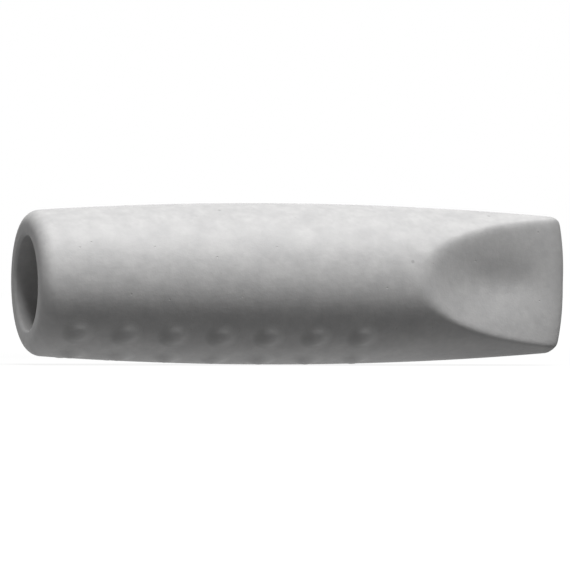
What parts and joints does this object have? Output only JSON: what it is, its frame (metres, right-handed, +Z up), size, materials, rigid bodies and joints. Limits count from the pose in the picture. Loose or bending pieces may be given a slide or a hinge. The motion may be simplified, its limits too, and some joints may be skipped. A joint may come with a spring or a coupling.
{
  "type": "pencil eraser topper",
  "caption": "Grey rubber eraser cap: a round blind bore presses over a pencil's end, rows of grip dots line the barrel's underside, and two dished scoops form a chisel rubbing tip.",
  "frame": {"origin": "centre of the open mouth, on the bore's axis", "axes": "+X along the bore from the mouth to the rubbing tip, +Z up with the grip dots underneath, -Y out of the front scoop"},
  "size_m": [0.04, 0.0116, 0.0117],
  "materials": {
    "eraser_rubber": "matte"
  },
  "bodies": {
    "root": {"eraser_cap": "eraser_rubber", "grip_dots_row_1": "eraser_rubber", "grip_dots_row_2": "eraser_rubber", "grip_dots_row_3": "eraser_rubber", "grip_dots_row_4": "eraser_rubber"}
  },
  "joints": []
}
